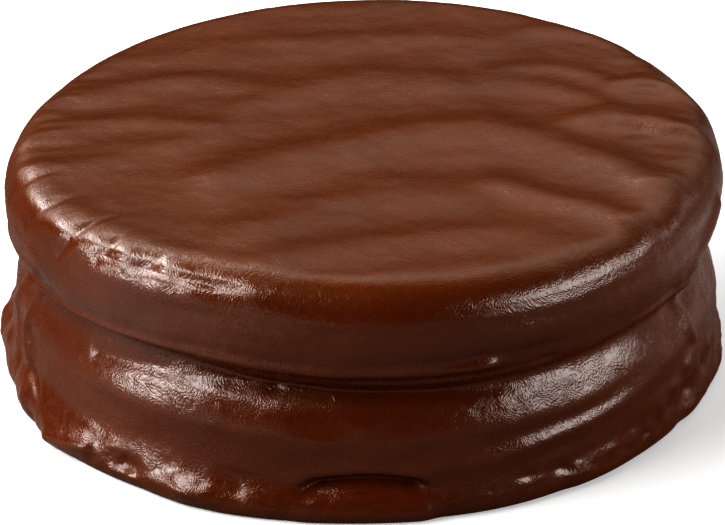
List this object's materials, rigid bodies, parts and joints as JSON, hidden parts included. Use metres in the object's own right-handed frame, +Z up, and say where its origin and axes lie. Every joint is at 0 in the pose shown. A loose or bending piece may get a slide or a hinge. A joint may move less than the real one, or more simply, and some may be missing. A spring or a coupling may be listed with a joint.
{
  "type": "alfajor cookie",
  "caption": "Round sandwich biscuit coated all over in chocolate, with a rippled top, rounded rim, waist groove between its layers and a pooled foot.",
  "frame": {"origin": "centre of the bounding box's underside, on the flat sole the cookie rests on", "axes": "+Z up through the thickness of the cookie; the front, with the arched slot in the foot, faces -Y"},
  "size_m": [0.0642, 0.0634, 0.0216],
  "materials": {
    "chocolate_coating": "semi-gloss brown chocolate coating with a fine crinkled skin in the highlights"
  },
  "bodies": {
    "root": {"coated_cookie": "chocolate_coating"}
  },
  "joints": []
}
